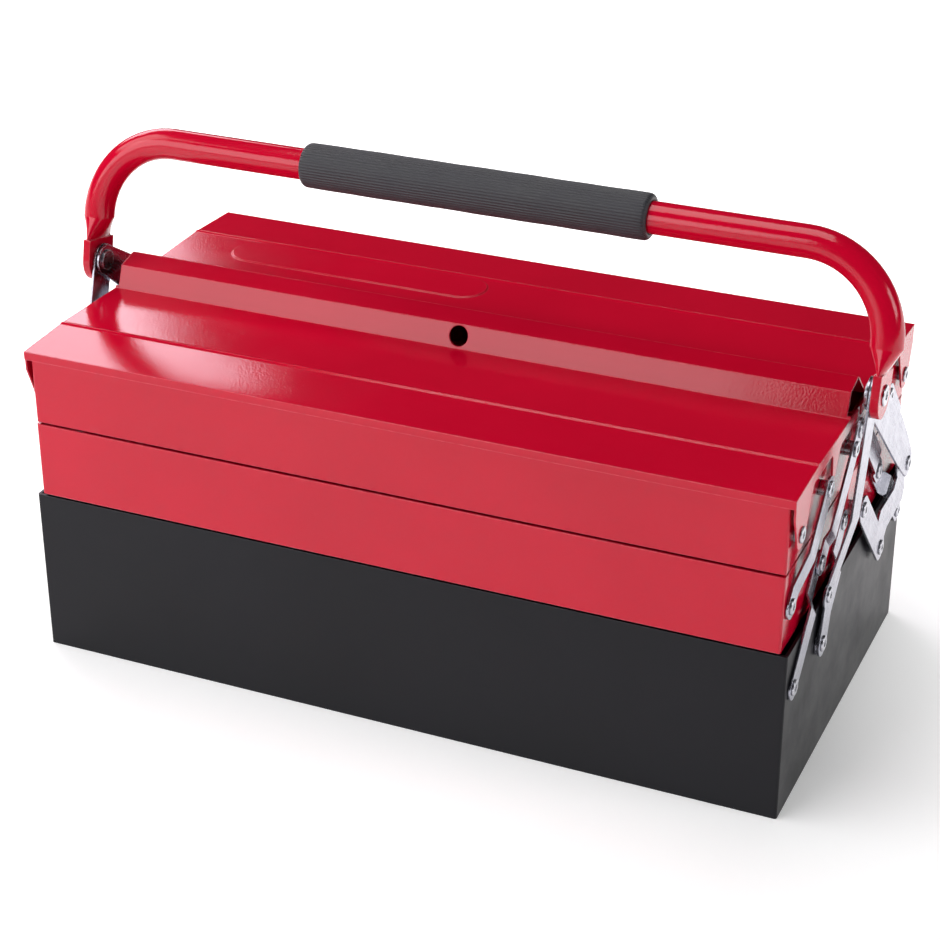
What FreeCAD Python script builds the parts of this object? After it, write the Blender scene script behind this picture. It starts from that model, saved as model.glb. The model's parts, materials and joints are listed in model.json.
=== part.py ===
import FreeCAD, Part
import math
import os

from FreeCAD import Vector

# Carpenter's cantilever toolbox: a base tray, two middle trays and two lidded upper trays
# on parallel links, with one bail handle on top.  Millimetres, +Z up, +X to the right,
# -Y to the front; the origin is the centre of the base tray's underside.
# "u" is the distance outward from the middle plane x = 0, the same at both ends.

# ---- driving dimensions ------------------------------------------------------------
BASE_LENGTH = 400.0
BASE_DEPTH = 208.0
BASE_HEIGHT = 89.2
SHEET = 0.9                 # steel sheet of trays and lids
TRAY_LENGTH = 393.0         # middle and upper trays, a little shorter than the base
TRAY_GAP = 0.8              # half the gap between the front and the rear trays
MID_BOTTOM = 90.4
MID_TOP = 130.0
UPPER_BOTTOM = 131.2
UPPER_TOP = 165.0
UPPER_FRONT_INSET = 0.5
HEM_HEIGHT = 5.0            # folded rim inside the top of each tray
HEM_DEPTH = 1.6

LID_LENGTH = 398.8
LID_EDGE_Y = 104.8
LID_EDGE_Z = 169.8
LID_LIP = 4.3
LID_BEAD_TOP = 171.95       # a low bead along each lid, pressed into the sheet
RIDGE_LENGTH = 395.0
RIDGE_TOP = 185.2
PADLOCK_HOLE_X = -2.0
PADLOCK_HOLE_Z = 176.6
PADLOCK_HOLE_RADIUS = 5.0

LINK_THICKNESS = 1.2
LINK_RADIUS = 6.2           # half the width of a link, and its end radius
PIN_RADIUS = 2.5
PIN_CLEARANCE = 0.06
HEAD_RADIUS = 4.0
SHOULDER_RADIUS = 3.7
HEAD_HEIGHT = 0.9
DIMPLE_SHARE = 0.42         # of the head's radius
DIMPLE_DEPTH = 0.45

# pivots as (distance from the middle plane y = 0, height)
BASE_OUTER = (94.0, 68.0)
BASE_INNER = (51.0, 68.0)
LOWER_REACH = 43.0          # a lower link rises this much and comes in this much
UPPER_REACH = 41.0          # the same for an upper link
MID_SHARED = (BASE_OUTER[0] - LOWER_REACH, BASE_OUTER[1] + LOWER_REACH)
MID_INNER = (BASE_INNER[0] - LOWER_REACH, BASE_INNER[1] + LOWER_REACH)
MID_OUTER = (95.0, MID_SHARED[1])
UPPER_OUTER = (MID_OUTER[0] - UPPER_REACH, MID_OUTER[1] + UPPER_REACH)
UPPER_INNER = (MID_SHARED[0] - UPPER_REACH, MID_SHARED[1] + UPPER_REACH)
LID_HINGE = (92.0, 147.0)
HANDLE_PIVOT = (-13.5, 184.0)       # true y, z, not a distance from the middle
STAY_PIVOT = (83.0, 102.0)          # the same, on the rear side
STOP_OVERRUN = 9.8          # the front inner upper link runs this far past its upper pin
ARM_BOSS = (24.3, 2.4, 7.6)         # on the handle arm: distance up, offset to the front, radius

# layers: the inner face of each plate, as u
BASE_WALL = BASE_LENGTH / 2
TRAY_WALL = TRAY_LENGTH / 2
U_TRAY_PLATE = TRAY_WALL + 0.3      # a plate lying on a tray's end wall
U_STACKED = U_TRAY_PLATE + LINK_THICKNESS + 0.3
U_LINK = BASE_WALL + 0.2            # a plate lying on the base's end wall
U_ARM_FOOT = U_LINK + LINK_THICKNESS + 0.2
U_CRANK = U_LINK + LINK_THICKNESS + 1.1
U_STAY = 206.0
STAY_TOP_RADIUS = 8.0
U_ARM_TOP = 207.9

# handle
TUBE_RADIUS = 8.0
HANDLE_LEG_U = 211.5
HANDLE_RISE = 66.0
HANDLE_BEND = 43.0
HANDLE_TILT = 12.2          # degrees rearward from upright
TAB_WIDTH = 23.0
TAB_THICKNESS = 4.0
TAB_TOP = 11.0
FLATTEN_END = 22.5          # the tube is fully round from here up
GRIP_LENGTH = 184.0
GRIP_RADIUS = 11.5
HANDLE_PIN_RADIUS = 3.0
HANDLE_HEAD_RADIUS = 5.2

# embossed plain panel on the rear lid
PANEL_X = -92.0
PANEL_Y = 54.0
PANEL_LENGTH = 150.0
PANEL_WIDTH = 26.0
PANEL_RISE = 0.7

FRONT = -1
REAR = 1
SIDES = ((FRONT, "front"), (REAR, "rear"))


# ---- helpers -----------------------------------------------------------------------
def box(x0, x1, y0, y1, z0, z1):
    return Part.makeBox(x1 - x0, y1 - y0, z1 - z0, Vector(x0, y0, z0))


def centred_box(length, y0, y1, z0, z1):
    return box(-length / 2, length / 2, min(y0, y1), max(y0, y1), z0, z1)


def rod(radius, u0, u1, y, z):
    """A cylinder along X."""
    return Part.makeCylinder(radius, u1 - u0, Vector(u0, y, z), Vector(1, 0, 0))


def prism_yz(points, u0, u1):
    """A polygon in the YZ plane, extruded along X from u0 to u1."""
    corners = [Vector(u0, y, z) for y, z in points]
    corners.append(corners[0])
    return Part.Face(Part.makePolygon(corners)).extrude(Vector(u1 - u0, 0, 0))


def on_side(side, point):
    """The true y, z of a pivot given as distance from the middle and height."""
    return side * point[0], point[1]


def mirrored_x(shape):
    return shape.mirror(Vector(0, 0, 0), Vector(1, 0, 0))


def at_both_ends(shapes):
    """Right-hand shapes and their mirror images, as one group of separate solids."""
    solids = []
    for shape in shapes:
        solids.extend(shape.Solids)
        solids.extend(mirrored_x(shape).Solids)
    return Part.makeCompound(solids)


def polyline_offset(points, distance):
    """The polyline moved to its right-hand side by distance, with mitred corners."""
    normals = []
    for (y0, z0), (y1, z1) in zip(points, points[1:]):
        length = math.hypot(y1 - y0, z1 - z0)
        normals.append(((z1 - z0) / length, -(y1 - y0) / length))
    moved = []
    for index, (y, z) in enumerate(points):
        before = normals[max(index - 1, 0)]
        after = normals[min(index, len(normals) - 1)]
        scale = distance / (1 + before[0] * after[0] + before[1] * after[1])
        moved.append((y + scale * (before[0] + after[0]), z + scale * (before[1] + after[1])))
    return moved


# ---- trays -------------------------------------------------------------------------
def open_tray(length, y0, y1, z0, z1):
    """A folded sheet tray with an open top and a hemmed rim."""
    outer = centred_box(length, y0, y1, z0, z1)
    outer = outer.makeFillet(1.2, [e for e in outer.Edges if is_upright(e)])
    low, high = min(y0, y1), max(y0, y1)
    rim = centred_box(length - 2 * HEM_DEPTH, low + HEM_DEPTH, high - HEM_DEPTH, z1 - HEM_HEIGHT, z1 + 1)
    hollow = centred_box(length - 2 * SHEET, low + SHEET, high - SHEET, z0 + SHEET, z1 - HEM_HEIGHT)
    return outer.cut(rim).cut(hollow)


def is_upright(edge):
    direction = edge.tangentAt(edge.FirstParameter)
    return abs(direction.z) > 0.99


def drill_pins(shape, points):
    """Pin holes through both end walls."""
    for y, z in points:
        shape = shape.cut(rod(PIN_RADIUS, 190.0, 202.0, y, z))
        shape = shape.cut(rod(PIN_RADIUS, -202.0, -190.0, y, z))
    return shape


def make_base_panels():
    """The base tray's five panels, as (name, shape): the long walls take in the rounded corners."""
    half = BASE_DEPTH / 2
    tray = open_tray(BASE_LENGTH, -half, half, 0.0, BASE_HEIGHT)
    pivots = [on_side(side, pivot) for side, _ in SIDES for pivot in (BASE_OUTER, BASE_INNER)]
    tray = drill_pins(tray, pivots)
    wall_from = half - HEM_DEPTH
    end_from = BASE_LENGTH / 2 - HEM_DEPTH
    reach = BASE_LENGTH
    floor = centred_box(BASE_LENGTH - 2 * SHEET, SHEET - half, half - SHEET, 0.0, SHEET)
    front = tray.common(box(-reach, reach, -reach, -wall_from, -1.0, reach)).cut(floor)
    end = tray.common(box(end_from, reach, -wall_from, wall_from, -1.0, reach)).cut(floor)
    rear = tray.common(box(-reach, reach, wall_from, reach, -1.0, reach)).cut(floor)
    return (("base_floor", floor), ("base_front_wall", front), ("base_rear_wall", rear),
            ("base_end_right", end), ("base_end_left", mirrored_x(end)))


def make_mid_tray(side):
    tray = open_tray(TRAY_LENGTH, side * TRAY_GAP, side * BASE_DEPTH / 2, MID_BOTTOM, MID_TOP)
    return drill_pins(tray, [on_side(side, pivot) for pivot in (MID_OUTER, MID_SHARED, MID_INNER)])


def make_upper_tray(side):
    front_wall = BASE_DEPTH / 2 - UPPER_FRONT_INSET
    tray = open_tray(TRAY_LENGTH, side * TRAY_GAP, side * front_wall, UPPER_BOTTOM, UPPER_TOP)
    return drill_pins(tray, [on_side(side, pivot) for pivot in (UPPER_OUTER, UPPER_INNER, LID_HINGE)])


# ---- lids --------------------------------------------------------------------------
def front_lid_section():
    return [(-LID_EDGE_Y, LID_EDGE_Z - LID_LIP), (-LID_EDGE_Y, LID_EDGE_Z),
            (-71.2, 171.3), (-69.4, LID_BEAD_TOP), (-67.6, 171.38),
            (-17.5, 170.6), (-13.0, 182.2), (-0.5, RIDGE_TOP)]


def rear_lid_section():
    """Given from the outer edge to the middle, as distances from the middle plane."""
    return [(LID_EDGE_Y, LID_EDGE_Z - LID_LIP), (LID_EDGE_Y, LID_EDGE_Z),
            (71.2, 171.3), (69.4, LID_BEAD_TOP), (67.6, 171.37),
            (16.2, 170.2), (0.7, RIDGE_TOP - 0.6)]


def sheet_along_x(section, length):
    """A folded sheet whose outer surface is the section, with its underside inside."""
    turning = 1 if section[0][0] < 0 else -1
    inside = polyline_offset(section, turning * SHEET)
    return prism_yz(section + inside[::-1], -length / 2, length / 2)


def end_flange(side):
    """The lid's right-hand end flange: an ear at the hinge and two arches over the pins."""
    hinge_y, hinge_z = LID_HINGE
    outline = [(104.3, 169.3), (104.3, 160.0), (99.0, 146.0), (84.8, 146.0), (76.5, 163.5),
               (74.0, 165.0), (47.0, 165.0), (45.0, 163.5), (43.0, 151.0), (38.5, 151.0),
               (32.5, 162.5), (30.0, 164.0), (3.0, 164.0), (2.0, 169.0), (17.0, 170.0), (69.0, 171.0)]
    outer = LID_LENGTH / 2
    plate = prism_yz([(side * y, z) for y, z in outline], outer - SHEET, outer)
    ear = rod(7.2, outer - SHEET, outer, side * hinge_y, hinge_z)
    plate = plate.fuse(ear).removeSplitter()
    return plate.cut(rod(PIN_RADIUS + PIN_CLEARANCE, 190.0, 202.0, side * hinge_y, hinge_z))


def ridge_end_cut(side):
    """What is cut away beyond the ridge's right-hand end, which stops short of the lid's."""
    return prism_yz([(side * 18.5, 171.6), (side * 18.5, 190.0), (-side * 2.0, 190.0), (-side * 2.0, 171.6)],
                    RIDGE_LENGTH / 2, 205.0)


def make_lid(side):
    section = front_lid_section() if side == FRONT else rear_lid_section()
    lid = sheet_along_x(section, LID_LENGTH)
    cutter = ridge_end_cut(side)
    lid = lid.cut(cutter).cut(mirrored_x(cutter))
    flange = end_flange(side)
    lid = lid.fuse(flange).fuse(mirrored_x(flange)).removeSplitter()
    hole = Part.makeCylinder(PADLOCK_HOLE_RADIUS, 60.0, Vector(PADLOCK_HOLE_X, -30.0, PADLOCK_HOLE_Z),
                             Vector(0, 1, 0))
    lid = lid.cut(hole)
    if side == REAR:
        lid = lid.fuse(embossed_panel()).removeSplitter()
    return lid


def embossed_panel():
    """A plain raised stadium pressed into the rear lid."""
    half_run = (PANEL_LENGTH - PANEL_WIDTH) / 2
    radius = PANEL_WIDTH / 2
    slope = math.atan2(1.6, LID_EDGE_Y - 69.0)
    lid_height = 170.2 + (PANEL_Y - 16.2) * (171.4 - 170.2) / (69.0 - 16.2)
    panel = box(-half_run, half_run, -radius, radius, -0.5, PANEL_RISE)
    for end in (-half_run, half_run):
        panel = panel.fuse(Part.makeCylinder(radius, PANEL_RISE + 0.5, Vector(end, 0, -0.5)))
    panel = panel.removeSplitter()
    rim = [e for e in panel.Edges if e.BoundBox.ZMin > PANEL_RISE - 0.01]
    panel = panel.makeChamfer(PANEL_RISE * 0.8, rim)
    panel.rotate(Vector(0, 0, 0), Vector(1, 0, 0), math.degrees(slope) * 0.5)
    panel.translate(Vector(PANEL_X, PANEL_Y, lid_height))
    return panel


# ---- links -------------------------------------------------------------------------
def bent_bar(foot, head, stations, foot_radius=LINK_RADIUS, head_radius=LINK_RADIUS, overrun=0.0, lobe=None):
    """A flat bar between two pivots, joggled along its length.

    stations lists (distance from the foot pivot, u of the inner face).  overrun carries
    the bar past the head pivot; lobe is (distance, offset, radius) of a boss on its edge.
    """
    span = math.hypot(head[0] - foot[0], head[1] - foot[1])
    end = span + overrun
    outline = Part.makeCylinder(foot_radius, 40.0, Vector(185.0, 0, 0), Vector(1, 0, 0))
    outline = outline.fuse(Part.makeCylinder(head_radius, 40.0, Vector(185.0, end, 0), Vector(1, 0, 0)))
    outline = outline.fuse(prism_yz([(0, -foot_radius), (end, -head_radius), (end, head_radius),
                                     (0, foot_radius)], 185.0, 225.0))
    if lobe:
        outline = outline.fuse(rod(lobe[2], 185.0, 225.0, lobe[0], lobe[1]))
    inner = [(-20.0, stations[0][1])] + list(stations) + [(end + 20.0, stations[-1][1])]
    corners = [Vector(u, s, -30.0) for s, u in inner]
    corners += [Vector(u + LINK_THICKNESS, s, -30.0) for s, u in reversed(inner)]
    corners.append(corners[0])
    slab = Part.Face(Part.makePolygon(corners)).extrude(Vector(0, 0, 60.0))
    bar = outline.common(slab)
    for s in (0.0, span):
        bar = bar.cut(rod(PIN_RADIUS + PIN_CLEARANCE, 185.0, 225.0, s, 0.0))
    angle = math.degrees(math.atan2(head[1] - foot[1], head[0] - foot[0]))
    bar.rotate(Vector(0, 0, 0), Vector(1, 0, 0), angle)
    bar.translate(Vector(0, foot[0], foot[1]))
    return bar.removeSplitter()


def make_lower_link(side, foot, head):
    """Lies on the base's end wall, then steps in to the middle tray's."""
    stations = ((37.5, U_LINK), (43.5, U_TRAY_PLATE))
    return bent_bar(on_side(side, foot), on_side(side, head), stations)


def make_outer_upper_link(side):
    stations = ((8.0, U_TRAY_PLATE), (25.0, U_LINK))
    return bent_bar(on_side(side, MID_OUTER), on_side(side, UPPER_OUTER), stations)


def make_inner_upper_link(side):
    """Shares its lower pin with the outer lower link; the front one runs past its upper pin."""
    stations = ((10.0, U_STACKED), (15.0, U_LINK))
    overrun = STOP_OVERRUN if side == FRONT else 0.0
    bar = bent_bar(on_side(side, MID_SHARED), on_side(side, UPPER_INNER), stations, overrun=overrun)
    if side == FRONT:
        bar = bar.cut(rod(PIN_RADIUS, 195.0, 205.0, *stop_rivet_place()))
    return bar


def stop_rivet_place():
    y, z = on_side(FRONT, UPPER_INNER)
    step = STOP_OVERRUN / math.sqrt(2)
    return y + step, z + step


def make_crank_plate():
    """Rear inner lower link with an arm on which the stay pulls."""
    foot = on_side(REAR, BASE_INNER)
    head = on_side(REAR, MID_INNER)
    u0, u1 = U_CRANK, U_CRANK + LINK_THICKNESS
    radius = 7.0
    offset = radius / math.sqrt(2)
    plate = prism_yz([(foot[0] - offset, foot[1] - offset), (foot[0] + offset, foot[1] + offset),
                      (head[0] + offset, head[1] + offset), (head[0] - offset, head[1] - offset)], u0, u1)
    arm = [(46.0, 92.0), (71.5, 91.5), (78.5, 97.0), STAY_PIVOT, (94.5, 96.0), (95.5, 80.0),
           (93.0, 75.5), (62.0, 74.5), (55.0, 69.0), (40.0, 86.0)]
    plate = plate.fuse(prism_yz(arm, u0, u1))
    for (y, z), end_radius in ((foot, radius), (head, radius), (STAY_PIVOT, 8.5)):
        plate = plate.fuse(rod(end_radius, u0, u1, y, z))
    plate = plate.removeSplitter()
    for y, z in (foot, head, STAY_PIVOT):
        plate = plate.cut(rod(PIN_RADIUS + PIN_CLEARANCE, 190.0, 215.0, y, z))
    return plate


def make_stay():
    """The wide plate from the handle pivot down to the crank's arm."""
    u0, u1 = U_STAY, U_STAY + LINK_THICKNESS
    blade = [(-16.5, 176.5), (58.0, 112.5), (77.5, 97.4), (88.5, 106.7), (77.0, 120.5),
             (57.5, 141.0), (14.0, 176.0), (-10.5, 191.4)]
    plate = prism_yz(blade, u0, u1)
    plate = plate.fuse(rod(STAY_TOP_RADIUS, u0, u1, *HANDLE_PIVOT))
    plate = plate.fuse(rod(7.2, u0, u1, *STAY_PIVOT))
    plate = plate.removeSplitter()
    return plate.cut(rod(PIN_RADIUS, 190.0, 215.0, *STAY_PIVOT))


def make_handle_arm():
    """The lever from the base to the handle pivot, joggled outward to clear the links."""
    foot = on_side(FRONT, BASE_INNER)
    stations = ((28.0, U_ARM_FOOT), (62.0, U_ARM_TOP))
    bar = bent_bar(foot, HANDLE_PIVOT, stations, foot_radius=6.6, head_radius=8.4, lobe=ARM_BOSS)
    bar = bar.cut(rod(HANDLE_PIN_RADIUS, 190.0, 215.0, *HANDLE_PIVOT))
    return bar.cut(rod(PIN_RADIUS, 190.0, 215.0, *arm_boss_place()))


def arm_boss_place():
    foot = on_side(FRONT, BASE_INNER)
    angle = math.atan2(HANDLE_PIVOT[1] - foot[1], HANDLE_PIVOT[0] - foot[0])
    along, across, _ = ARM_BOSS
    y = foot[0] + along * math.cos(angle) - across * math.sin(angle)
    z = foot[1] + along * math.sin(angle) + across * math.cos(angle)
    return y, z


# ---- rivets ------------------------------------------------------------------------
def domed_head(radius, u, y, z, height=HEAD_HEIGHT):
    """A button head whose flat side is at u, rounded outward, with the punch's dimple."""
    head = rod(radius, u, u + height, y, z)
    rim = [e for e in head.Edges if abs(e.BoundBox.XMin - (u + height)) < 0.01 and e.BoundBox.YLength > radius]
    head = head.makeFillet(height * 0.85, rim)
    return head.cut(rod(radius * DIMPLE_SHARE, u + height - DIMPLE_DEPTH, u + height + 0.1, y, z))


def rivet(place, wall_inner, plate_outer, shoulder=None, radius=PIN_RADIUS, head_radius=HEAD_RADIUS):
    """A rivet along X, with a flat head inside the wall and a button head outside the plate.

    shoulder is (u0, u1) of a thicker length that spaces the plate from the wall.
    """
    y, z = place
    body = rod(head_radius, wall_inner - 1.0, wall_inner, y, z)
    body = body.fuse(rod(radius, wall_inner, plate_outer + 0.1, y, z))
    body = body.fuse(domed_head(head_radius, plate_outer + 0.1, y, z))
    if shoulder:
        body = body.fuse(rod(max(SHOULDER_RADIUS, radius), shoulder[0], shoulder[1], y, z))
    return body.removeSplitter()


def make_base_rivets():
    inner_face = BASE_WALL - SHEET
    front_inner = rivet(on_side(FRONT, BASE_INNER), inner_face, U_ARM_FOOT + LINK_THICKNESS)
    rear_inner = rivet(on_side(REAR, BASE_INNER), inner_face, U_CRANK + LINK_THICKNESS,
                       shoulder=(BASE_WALL, U_CRANK - 0.1))
    outers = [rivet(on_side(side, BASE_OUTER), inner_face, U_LINK + LINK_THICKNESS) for side, _ in SIDES]
    return at_both_ends([front_inner, rear_inner] + outers)


def make_mid_rivets(side):
    inner_face = TRAY_WALL - SHEET
    outer = rivet(on_side(side, MID_OUTER), inner_face, U_TRAY_PLATE + LINK_THICKNESS)
    shared = rivet(on_side(side, MID_SHARED), inner_face, U_STACKED + LINK_THICKNESS)
    if side == FRONT:
        inner = rivet(on_side(side, MID_INNER), inner_face, U_TRAY_PLATE + LINK_THICKNESS)
    else:
        inner = rivet(on_side(side, MID_INNER), inner_face, U_CRANK + LINK_THICKNESS,
                      shoulder=(TRAY_WALL, U_CRANK - 0.1))
    return at_both_ends([outer, shared, inner])


def make_upper_rivets(side):
    inner_face = TRAY_WALL - SHEET
    shapes = [rivet(on_side(side, pivot), inner_face, U_LINK + LINK_THICKNESS,
                    shoulder=(TRAY_WALL, U_LINK - 0.1)) for pivot in (UPPER_OUTER, UPPER_INNER)]
    lid_outer = LID_LENGTH / 2
    shapes.append(rivet(on_side(side, LID_HINGE), inner_face, lid_outer,
                        shoulder=(TRAY_WALL, lid_outer - SHEET - 0.1)))
    return at_both_ends(shapes)


def make_handle_rivets():
    """Fixed in the handle arm, with a flush inner end, so that the stay behind it is free."""
    y, z = HANDLE_PIVOT
    head_from = HANDLE_LEG_U + TAB_THICKNESS / 2 + 0.1
    body = rod(HANDLE_PIN_RADIUS, U_ARM_TOP, head_from, y, z)
    body = body.fuse(domed_head(HANDLE_HEAD_RADIUS, head_from, y, z))
    return at_both_ends([body.removeSplitter()])


def make_stay_rivets():
    """The pin to the crank's arm, flush on its inner side, and the stay's inner head at the top."""
    y, z = STAY_PIVOT
    plate_outer = U_STAY + LINK_THICKNESS
    body = rod(PIN_RADIUS, U_CRANK, plate_outer, y, z)
    body = body.fuse(rod(SHOULDER_RADIUS, U_CRANK + LINK_THICKNESS + 0.1, U_STAY, y, z))
    body = body.fuse(domed_head(HEAD_RADIUS, plate_outer, y, z))
    top = rod(HANDLE_HEAD_RADIUS, U_STAY - 1.0, U_STAY, *HANDLE_PIVOT)
    return at_both_ends([body.removeSplitter(), top])


def make_arm_boss_rivets():
    y, z = arm_boss_place()
    plate_outer = U_ARM_FOOT + LINK_THICKNESS
    body = rod(PIN_RADIUS, U_ARM_FOOT, plate_outer, y, z)
    return at_both_ends([body.fuse(domed_head(HEAD_RADIUS, plate_outer, y, z)).removeSplitter()])


def make_link_stop_rivets():
    y, z = stop_rivet_place()
    plate_outer = U_LINK + LINK_THICKNESS
    body = rod(PIN_RADIUS, U_LINK, plate_outer, y, z)
    return at_both_ends([body.fuse(domed_head(HEAD_RADIUS, plate_outer, y, z)).removeSplitter()])


# ---- handle ------------------------------------------------------------------------
def tilt_handle(shape):
    """From the handle's own upright frame, with its pivot at y = z = 0, to its place."""
    shape.rotate(Vector(0, 0, 0), Vector(1, 0, 0), -HANDLE_TILT)
    shape.translate(Vector(0, HANDLE_PIVOT[0], HANDLE_PIVOT[1]))
    return shape


def handle_path():
    """The centre line of the round tube: leg, bend, crossbar, bend, leg."""
    leg = HANDLE_LEG_U
    straight = leg - HANDLE_BEND
    foot_z = FLATTEN_END
    bend_z = HANDLE_RISE - HANDLE_BEND
    diagonal = HANDLE_BEND * math.sin(math.radians(45.0))
    edges = []
    for turn in (1, -1):
        low = Vector(turn * leg, 0, foot_z)
        start = Vector(turn * leg, 0, bend_z)
        middle = Vector(turn * (straight + diagonal), 0, bend_z + diagonal)
        end = Vector(turn * straight, 0, HANDLE_RISE)
        side_edges = [Part.LineSegment(low, start).toShape(), Part.Arc(start, middle, end).toShape()]
        if turn == 1:
            edges += side_edges
            edges.append(Part.LineSegment(end, Vector(-straight, 0, HANDLE_RISE)).toShape())
        else:
            edges += [Part.Arc(end, middle, start).toShape(), Part.LineSegment(start, low).toShape()]
    return Part.Wire(edges)


def flattened_end():
    """The right-hand end of the tube, pressed flat into a round-ended tab."""
    low = Part.Ellipse(Vector(0, 0, 0), TAB_WIDTH / 2, TAB_THICKNESS / 2).toShape()
    low.rotate(Vector(0, 0, 0), Vector(0, 0, 1), 90)
    low.translate(Vector(HANDLE_LEG_U, 0, TAB_TOP))
    high = Part.makeCircle(TUBE_RADIUS, Vector(HANDLE_LEG_U, 0, FLATTEN_END))
    high.rotate(Vector(HANDLE_LEG_U, 0, FLATTEN_END), Vector(0, 0, 1), 90)
    taper = Part.makeLoft([Part.Wire(low), Part.Wire(high)], True)
    inner = HANDLE_LEG_U - TAB_THICKNESS / 2
    outer = HANDLE_LEG_U + TAB_THICKNESS / 2
    half = TAB_WIDTH / 2
    tab = rod(half, inner, outer, 0, 0).fuse(box(inner, outer, -half, half, 0, TAB_TOP))
    tab = tab.removeSplitter()
    return tab.fuse(taper)


def make_handle_tube():
    path = handle_path()
    start = Vector(HANDLE_LEG_U, 0, FLATTEN_END)
    section = Part.Wire(Part.makeCircle(TUBE_RADIUS, start, Vector(0, 0, 1)))
    tube = path.makePipeShell([section], True, False)
    end = flattened_end()
    tube = tube.fuse(end).fuse(mirrored_x(end)).removeSplitter()
    for x0, x1 in ((200.0, 220.0), (-220.0, -200.0)):
        tube = tube.cut(rod(HANDLE_PIN_RADIUS + PIN_CLEARANCE, x0, x1, 0, 0))
    return tilt_handle(tube)


def make_handle_grip():
    half = GRIP_LENGTH / 2
    sleeve = rod(GRIP_RADIUS, -half, half, 0, HANDLE_RISE)
    sleeve = sleeve.makeFillet(1.5, [e for e in sleeve.Edges if e.BoundBox.XLength < 0.01])
    return tilt_handle(sleeve.cut(rod(TUBE_RADIUS, -half - 1, half + 1, 0, HANDLE_RISE)))


# ---- assembly ----------------------------------------------------------------------
def write_node(name, shape):
    if len(shape.Solids) == 1:
        shape = shape.Solids[0]
    if not shape.isValid():
        print("not valid:", name)
    shape.exportStep(os.path.join("parts", name + ".step"))
    print(name, len(shape.Solids), round(shape.Volume, 1))


def write_pair(name, right):
    write_node(name + "_right", right)
    write_node(name + "_left", mirrored_x(right))


def main():
    os.makedirs("parts", exist_ok=True)
    for name, panel in make_base_panels():
        write_node(name, panel)
    for side, word in SIDES:
        write_node(word + "_mid_tray", make_mid_tray(side))
        write_node(word + "_upper_tray", make_upper_tray(side))
        write_node(word + "_lid", make_lid(side))
        write_pair(word + "_outer_lower_link", make_lower_link(side, BASE_OUTER, MID_SHARED))
        write_pair(word + "_outer_upper_link", make_outer_upper_link(side))
        write_pair(word + "_inner_upper_link", make_inner_upper_link(side))
        write_node(word + "_mid_tray_rivets", make_mid_rivets(side))
        write_node(word + "_upper_tray_rivets", make_upper_rivets(side))
    write_pair("front_inner_lower_link", make_lower_link(FRONT, BASE_INNER, MID_INNER))
    write_pair("rear_crank_plate", make_crank_plate())
    write_pair("handle_arm", make_handle_arm())
    write_pair("handle_stay", make_stay())
    write_node("base_rivets", make_base_rivets())
    write_node("handle_rivets", make_handle_rivets())
    write_node("stay_rivets", make_stay_rivets())
    write_node("arm_boss_rivets", make_arm_boss_rivets())
    write_node("link_stop_rivets", make_link_stop_rivets())
    write_node("handle_tube", make_handle_tube())
    write_node("handle_grip", make_handle_grip())


main()
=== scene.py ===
# Carpenter's cantilever toolbox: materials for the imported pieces, a ribbed foam grip in place of the plain
# one, and a pale studio with the camera at the photograph's angle.  Lengths are in metres.

import json
import math

import bpy
from mathutils import Euler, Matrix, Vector


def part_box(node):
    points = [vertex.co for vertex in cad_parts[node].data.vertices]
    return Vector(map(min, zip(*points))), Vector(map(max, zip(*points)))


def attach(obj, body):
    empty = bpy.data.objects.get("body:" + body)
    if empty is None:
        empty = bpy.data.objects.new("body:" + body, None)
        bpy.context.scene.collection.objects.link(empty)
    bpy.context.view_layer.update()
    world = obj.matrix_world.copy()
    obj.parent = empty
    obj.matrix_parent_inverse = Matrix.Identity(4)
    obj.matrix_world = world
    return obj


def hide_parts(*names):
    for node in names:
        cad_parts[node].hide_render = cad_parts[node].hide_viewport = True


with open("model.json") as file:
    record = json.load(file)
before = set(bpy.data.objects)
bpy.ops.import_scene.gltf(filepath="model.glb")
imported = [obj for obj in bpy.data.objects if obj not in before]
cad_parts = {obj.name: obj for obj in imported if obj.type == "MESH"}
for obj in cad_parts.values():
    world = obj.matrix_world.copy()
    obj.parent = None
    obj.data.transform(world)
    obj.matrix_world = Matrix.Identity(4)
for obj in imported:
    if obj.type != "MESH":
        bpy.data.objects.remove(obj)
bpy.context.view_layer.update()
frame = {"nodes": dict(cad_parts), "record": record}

MM = 0.001

# camera, at the photograph's viewing angle
CAMERA_PLACE = (0.42972, -0.98294, 0.65075)
CAMERA_TURN = (62.600, 0.141, 23.672)  # degrees
CAMERA_LENS = 89.157
CAMERA_SENSOR = 36.0
CAMERA_REACH = 50.0

# foam grip
RIBS = 46
STEPS_PER_RIB = 6
RIB_DEPTH = 0.42 * MM
GROOVE_SHARPNESS = 3
GRIP_END_ROUND = 2.6 * MM
GRIP_END_STEPS = 6
GRIP_MIDDLE_STEPS = 60
GRIP_SWELL = 0.10 * MM
GRIP_SWELL_WAVES = (90.0, 233.0)  # radians per metre along the grip
GRIP_SWELL_SHIFT = 1.0
GRIP_SQUEEZE = 0.05 * MM  # the bore is this much smaller in radius than the tube
GRIP_BORE_INSET = 0.5 * MM  # the bore begins this far inside each end
TUBE_RADIUS = 8.0 * MM

# surface finish
BEVEL_SAMPLES = 6
EDGE_SHARP, EDGE_FLAT = 0.90, 0.995  # rounded normal against flat normal, on an edge and on a face
PEEL_HEIGHT = 0.12 * MM
SHEET_WAVE_HEIGHT = 0.25 * MM
PLATE_EDGE_RADIUS = 0.45 * MM
PLATE_LINE_STRETCH = 26.0
PLATE_LINE_HEIGHT = 0.05 * MM
FOAM_CELL_HEIGHT = 0.12 * MM

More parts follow.
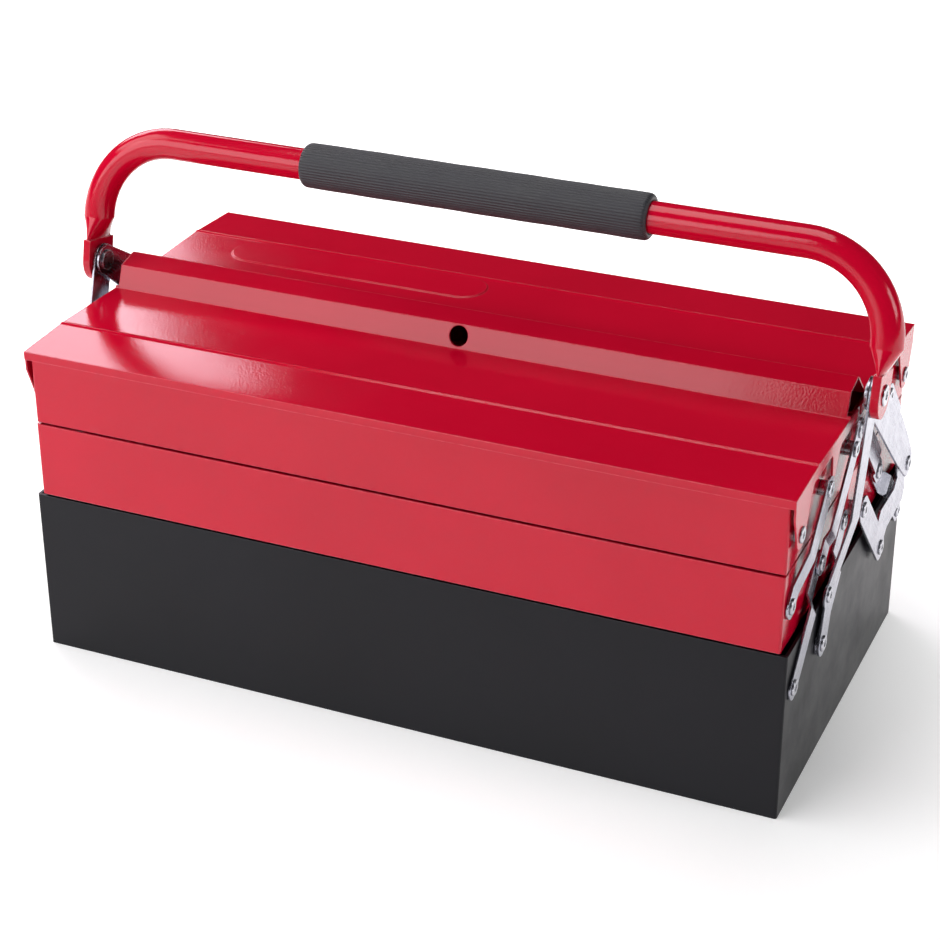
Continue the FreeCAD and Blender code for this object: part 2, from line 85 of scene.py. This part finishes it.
# studio
BACKDROP_GLOW = 1.05
BACKDROP_DROP = 0.05  # how far its rim lies below the floor
LIGHT_AIM = Vector((0.0, 0.0, 0.12))
WORLD_GREY = 0.9
WORLD_STRENGTH = 0.03
SOFTBOXES = (
    # name, azimuth, elevation, distance, width, height, radiance, colour
    ("key_front_left", -147.0, 21.0, 1.7, 1.45, 0.95, 3.7, (1.0, 0.97, 1.0)),
    ("side_left", -108.0, 38.0, 1.4, 0.7, 0.7, 3.0, (1.0, 1.0, 1.0)),
    ("overhead", -90.0, 82.0, 2.0, 1.5, 1.3, 3.6, (1.0, 1.0, 1.0)),
    ("rim_back_left", -51.5, 26.5, 2.6, 1.40, 0.95, 5.0, (1.0, 0.88, 0.98)),
    ("fill_right", 88.0, 22.0, 2.6, 0.9, 0.9, 5.5, (1.0, 1.0, 1.0)),
)


# ---- node helpers ------------------------------------------------------------------
class Graph:
    """A material with its Principled shader, and short ways to add nodes to it."""

    def __init__(self, name):
        self.material = bpy.data.materials.new(name)
        self.material.use_nodes = True
        self.tree = self.material.node_tree
        self.shader = self.tree.nodes["Principled BSDF"]
        self.place = self.add("ShaderNodeTexCoord").outputs["Object"]

    def add(self, kind, settings=None, **inputs):
        """A new node.  An input is given by its name, or as i0, i1 and so on by its number."""
        node = self.tree.nodes.new(kind)
        for key, value in (settings or {}).items():
            setattr(node, key, value)
        for key, value in inputs.items():
            numbered = key[0] == "i" and key[1:].isdigit()
            self.feed(node.inputs[int(key[1:]) if numbered else key], value)
        return node

    def feed(self, socket, value):
        if isinstance(value, bpy.types.NodeSocket):
            self.tree.links.new(value, socket)
        else:
            socket.default_value = value

    def set(self, **values):
        """Sockets of the shader, with _ for a space."""
        for key, value in values.items():
            self.feed(self.shader.inputs[key.replace("_", " ")], value)

    def noise(self, scale, detail=3.0, roughness=0.5, vector=None):
        node = self.add("ShaderNodeTexNoise", Scale=scale, Detail=detail, Roughness=roughness)
        self.feed(node.inputs["Vector"], vector or self.place)
        return node.outputs["Fac"]

    def spread(self, value, low, high, from_low=0.3, from_high=0.7):
        """A value in from_low to from_high, mapped to low to high and held there outside it."""
        node = self.add("ShaderNodeMapRange", {"clamp": True},
                        i0=value, i1=from_low, i2=from_high, i3=low, i4=high)
        return node.outputs["Result"]

    def maths(self, operation, first, second):
        node = self.add("ShaderNodeMath", {"operation": operation, "use_clamp": False}, i0=first, i1=second)
        return node.outputs[0]

    def mix(self, share, first, second):
        node = self.add("ShaderNodeMix", {"data_type": "RGBA"})
        self.feed(node.inputs["Factor"], share)
        for socket, value in zip([s for s in node.inputs if s.type == "RGBA"], (first, second)):
            self.feed(socket, value)
        return next(s for s in node.outputs if s.type == "RGBA")

    def bevel(self, radius):
        return self.add("ShaderNodeBevel", {"samples": BEVEL_SAMPLES}, Radius=radius).outputs["Normal"]

    def edges(self, rounded):
        """About 1 on a sharp edge and 0 on a flat face."""
        flat = self.add("ShaderNodeNewGeometry").outputs["Normal"]
        same = self.add("ShaderNodeVectorMath", {"operation": "DOT_PRODUCT"}, i0=rounded, i1=flat)
        return self.spread(same.outputs["Value"], 1.0, 0.0, EDGE_SHARP, EDGE_FLAT)

    def bump(self, height, strength, distance, normal):
        node = self.add("ShaderNodeBump", Strength=strength, Distance=distance, Height=height, Normal=normal)
        return node.outputs["Normal"]


def grey(value):
    return (value, value, value, 1.0)


# ---- materials ---------------------------------------------------------------------
def paint(name, colour, deep, edge_wear_and_highlight, roughness, ior, peel, peel_size, edge_radius):
    """Enamel on steel sheet: slight tone drift, orange peel, and paler paint along edges: partly thinner,
    worn paint and partly a painted highlight along the folds.
    """
    g = Graph(name)
    rounded = g.bevel(edge_radius)
    edge = g.edges(rounded)
    # paler colour in patches along sharp edges: partly edge wear, partly a painted highlight along the folds
    wear_and_highlight_share = g.maths("MULTIPLY", edge, g.spread(g.noise(scale=260.0, detail=4.0), 0.15, 0.75))
    drift = g.spread(g.noise(scale=9.0, detail=4.0), 0.0, 1.0)
    tone = g.mix(drift, deep, colour)
    g.set(Base_Color=g.mix(wear_and_highlight_share, tone, edge_wear_and_highlight))
    smears = g.noise(scale=38.0, detail=6.0, roughness=0.62)
    g.set(Roughness=g.spread(smears, roughness[0], roughness[1]))
    grain = g.noise(scale=1.0 / peel_size, detail=2.0, roughness=0.45)
    skin = g.bump(grain, peel, PEEL_HEIGHT, rounded)
    wave = g.noise(scale=11.0, detail=1.0)
    g.set(Normal=g.bump(wave, 0.25, SHEET_WAVE_HEIGHT, skin))
    g.shader.inputs["IOR"].default_value = ior
    return g.material


def plated(name, angle, roughness, colour, dull):
    """Bright zinc plate with rolling lines at angle, in degrees about X, and faint stains."""
    g = Graph(name)
    rounded = g.bevel(PLATE_EDGE_RADIUS)
    turned = g.add("ShaderNodeMapping", {"vector_type": "TEXTURE"}, Vector=g.place)
    turned.inputs["Rotation"].default_value = (math.radians(angle), 0.0, 0.0)
    turned.inputs["Scale"].default_value = (1.0, PLATE_LINE_STRETCH, 1.0)
    lines = g.noise(scale=900.0, detail=3.0, roughness=0.6, vector=turned.outputs["Vector"])
    stains = g.noise(scale=170.0, detail=5.0, roughness=0.65)
    g.set(Base_Color=g.mix(g.spread(stains, 0.0, 1.0), dull, colour))
    base_rough = g.spread(stains, roughness[1], roughness[0])
    g.set(Roughness=g.maths("ADD", base_rough, g.spread(lines, -0.04, 0.06)))
    g.shader.inputs["Metallic"].default_value = 1.0
    g.set(Normal=g.bump(lines, 0.12, PLATE_LINE_HEIGHT, rounded))
    return g.material


def foam(name):
    """Black foam rubber: fine cells and a slow drift in tone and gloss."""
    g = Graph(name)
    cells = g.noise(scale=2600.0, detail=3.0, roughness=0.6)
    drift = g.noise(scale=60.0, detail=4.0)
    tone = g.spread(drift, 0.0, 1.0)
    g.set(Base_Color=g.mix(tone, (0.012, 0.012, 0.016, 1.0), (0.020, 0.020, 0.027, 1.0)))
    g.set(Roughness=g.spread(drift, 0.36, 0.52))
    g.shader.inputs["Sheen Weight"].default_value = 0.12
    g.shader.inputs["Sheen Roughness"].default_value = 0.5
    surface = g.add("ShaderNodeNewGeometry").outputs["Normal"]
    g.set(Normal=g.bump(cells, 0.35, FOAM_CELL_HEIGHT, surface))
    return g.material


# the pale edge colours are partly edge wear and partly a painted highlight along the folds
RED = paint("red_enamel", colour=(0.57, 0.0010, 0.024, 1.0), deep=(0.50, 0.0008, 0.020, 1.0),
            edge_wear_and_highlight=(0.85, 0.10, 0.15, 1.0), roughness=(0.08, 0.15), ior=1.44,
            peel=0.34, peel_size=1.1 * MM, edge_radius=0.8 * MM)
CHARCOAL = paint("charcoal_enamel", colour=(0.008, 0.008, 0.011, 1.0), deep=(0.006, 0.006, 0.008, 1.0),
                 edge_wear_and_highlight=(0.09, 0.09, 0.10, 1.0), roughness=(0.34, 0.46), ior=1.30,
                 peel=0.20, peel_size=0.7 * MM, edge_radius=0.5 * MM)
PLATE = {"roughness": (0.17, 0.29), "colour": (0.42, 0.42, 0.48, 1.0), "dull": (0.36, 0.36, 0.42, 1.0)}
PLATE_FRONT = plated("bright_plate_front", 45.0, **PLATE)
PLATE_REAR = plated("bright_plate_rear", -42.0, **PLATE)
PLATE_ARM = plated("bright_plate_arm", 72.0, **PLATE)
RIVET = plated("rivet_plate", 0.0, roughness=(0.20, 0.34), colour=(0.58, 0.58, 0.63, 1.0),
               dull=(0.40, 0.40, 0.44, 1.0))
FOAM = foam("foam_rubber")
BY_SLOT = {"red_paint": RED, "charcoal_paint": CHARCOAL, "rivet_steel": RIVET, "foam_grip": FOAM}


def material_for(node, slot):
    if slot != "bright_plate":
        return BY_SLOT[slot]
    if node.startswith("handle_arm"):
        return PLATE_ARM
    return PLATE_FRONT if node.startswith("front") else PLATE_REAR


for subpart in frame["record"]["subparts"]:
    cad = frame["nodes"][subpart["node"]]
    cad.data.materials.clear()
    cad.data.materials.append(material_for(subpart["node"], subpart["material_slot"]))


# ---- foam grip ---------------------------------------------------------------------
def new_piece(name, verts, faces, material):
    mesh = bpy.data.meshes.new(name)
    mesh.from_pydata(verts, [], faces)
    mesh.materials.append(material)
    piece = bpy.data.objects.new(name, mesh)
    bpy.context.scene.collection.objects.link(piece)
    return piece


def grip_stations(half, radius):
    """(x, outer radius, share of the rib depth) from one end to the other."""
    right = []
    for step in range(GRIP_END_STEPS + 1):
        angle = math.radians(90.0 * step / GRIP_END_STEPS)
        x = half - GRIP_END_ROUND * (1 - math.sin(angle))
        right.append((x, radius - GRIP_END_ROUND * (1 - math.cos(angle)), math.cos(angle)))
    inner = half - GRIP_END_ROUND
    middle = [(-inner + 2 * inner * i / GRIP_MIDDLE_STEPS, radius, 1.0) for i in range(1, GRIP_MIDDLE_STEPS)]
    left = [(-x, r, share) for x, r, share in reversed(right)]
    return left + middle + right


def grip_swell(x):
    """Unevenness of the foam at x: 0 at most, and down to twice GRIP_SWELL below the surface."""
    first, second = GRIP_SWELL_WAVES
    return GRIP_SWELL * (math.sin(x * first) + math.sin(x * second + GRIP_SWELL_SHIFT)) * 0.5 - GRIP_SWELL


def make_grip():
    """A closed sleeve about the tube: ribbed outside, rounded at both ends, with a plain bore."""
    low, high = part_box("handle_grip")
    centre = (low + high) / 2
    half = (high.x - low.x) / 2
    radius = (high.z - low.z) / 2
    turns = [2 * math.pi * k / (RIBS * STEPS_PER_RIB) for k in range(RIBS * STEPS_PER_RIB)]
    stations = grip_stations(half, radius)
    verts, faces = [], []

    def point(x, r, turn):
        verts.append((x + centre.x, centre.y + r * math.cos(turn), centre.z + r * math.sin(turn)))

    for x, r, share in stations:
        swell = grip_swell(x)
        for turn in turns:
            groove = (0.5 - 0.5 * math.cos(turn * RIBS)) ** GROOVE_SHARPNESS
            point(x, r + swell * share - RIB_DEPTH * share * groove, turn)
    for x in (stations[-1][0] - GRIP_BORE_INSET, stations[0][0] + GRIP_BORE_INSET):
        for turn in turns:
            point(x, TUBE_RADIUS - GRIP_SQUEEZE, turn)
    rings, count = len(stations) + 2, len(turns)
    for i in range(rings):
        j = (i + 1) % rings
        for k in range(count):
            m = (k + 1) % count
            faces.append((i * count + k, j * count + k, j * count + m, i * count + m))
    grip = new_piece("foam_grip", verts, faces, FOAM)
    grip.data.validate()
    grip.data.polygons.foreach_set("use_smooth", [True] * len(grip.data.polygons))
    return grip


grip = make_grip()
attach(grip, "handle")
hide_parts("handle_grip")


# ---- studio ------------------------------------------------------------------------
def quad(name, size, place, material):
    half = size / 2
    corners = [(-half, -half, 0), (half, -half, 0), (half, half, 0), (-half, half, 0)]
    piece = new_piece(name, corners, [(0, 1, 2, 3)], material)
    piece.location = place
    return piece


def floor_material():
    """Pale floor that glows to white away from the box.

    It also glows towards the back and the right, which is what the sheet and the plates reflect.
    """
    g = Graph("studio_floor")
    g.set(Base_Color=g.mix(g.spread(g.noise(scale=3.0), 0.0, 1.0), grey(0.86), grey(0.90)))
    g.shader.inputs["Roughness"].default_value = 0.7
    g.shader.inputs["Emission Color"].default_value = grey(1.0)
    away = g.add("ShaderNodeVectorMath", {"operation": "LENGTH"}, i0=g.place).outputs["Value"]
    across = g.add("ShaderNodeSeparateXYZ", i0=g.place).outputs
    to_back = g.spread(across["Y"], 0.0, 0.55, from_low=-0.05, from_high=0.35)
    to_right = g.spread(across["X"], 0.0, 0.4, from_low=0.2, from_high=0.6)
    outward = g.spread(away, 0.30, 1.05, from_low=1.0, from_high=3.2)
    g.set(Emission_Strength=g.maths("ADD", outward, g.maths("ADD", to_back, to_right)))
    return g.material


def backdrop_material():
    g = Graph("studio_backdrop")
    g.shader.inputs["Base Color"].default_value = grey(0.0)
    g.shader.inputs["Emission Color"].default_value = grey(1.0)
    g.shader.inputs["Emission Strength"].default_value = BACKDROP_GLOW
    return g.material


def make_backdrop(radius, sides=64, rows=16):
    """A pale dome that only the camera sees, so that it doesn't light or reflect."""
    verts, faces = [], []
    for row in range(rows + 1):
        rise = math.radians(90.0 * row / rows)
        for k in range(sides):
            turn = 2 * math.pi * k / sides
            verts.append((radius * math.cos(rise) * math.cos(turn), radius * math.cos(rise) * math.sin(turn),
                          radius * math.sin(rise) - BACKDROP_DROP))
    for row in range(rows):
        for k in range(sides):
            m = (k + 1) % sides
            faces.append((row * sides + k, row * sides + m, (row + 1) * sides + m, (row + 1) * sides + k))
    dome = new_piece("backdrop", verts, faces, backdrop_material())
    dome.visible_diffuse = False
    dome.visible_glossy = False
    dome.visible_transmission = False
    dome.visible_shadow = False
    return dome


quad("floor", 14.0, (0.0, 0.0, -0.0002), floor_material())
make_backdrop(6.9)


def softbox(name, azimuth, elevation, distance, width, height, radiance, colour):
    """A rectangular light aimed at the box.  Azimuth is from +Y towards +X, in degrees."""
    turn, rise = math.radians(azimuth), math.radians(elevation)
    away = Vector((math.sin(turn) * math.cos(rise), math.cos(turn) * math.cos(rise), math.sin(rise)))
    light = bpy.data.lights.new(name, "AREA")
    light.shape = "RECTANGLE"
    light.size = width
    light.size_y = height
    light.energy = radiance * math.pi * width * height
    light.color = colour
    lamp = bpy.data.objects.new(name, light)
    lamp.location = LIGHT_AIM + away * distance
    lamp.rotation_euler = away.to_track_quat("Z", "Y").to_euler()
    lamp.visible_camera = False
    bpy.context.scene.collection.objects.link(lamp)


for box in SOFTBOXES:
    softbox(*box)

world = bpy.data.worlds.new("studio")
world.use_nodes = True
world.node_tree.nodes["Background"].inputs["Color"].default_value = grey(WORLD_GREY)
world.node_tree.nodes["Background"].inputs["Strength"].default_value = WORLD_STRENGTH
bpy.context.scene.world = world
bpy.context.scene.view_settings.view_transform = "Standard"

lens = bpy.data.cameras.new("camera")
lens.lens = CAMERA_LENS
lens.sensor_width = CAMERA_SENSOR
lens.clip_end = CAMERA_REACH
camera = bpy.data.objects.new("camera", lens)
camera.location = CAMERA_PLACE
camera.rotation_euler = Euler([math.radians(a) for a in CAMERA_TURN])
bpy.context.scene.collection.objects.link(camera)
bpy.context.scene.camera = camera
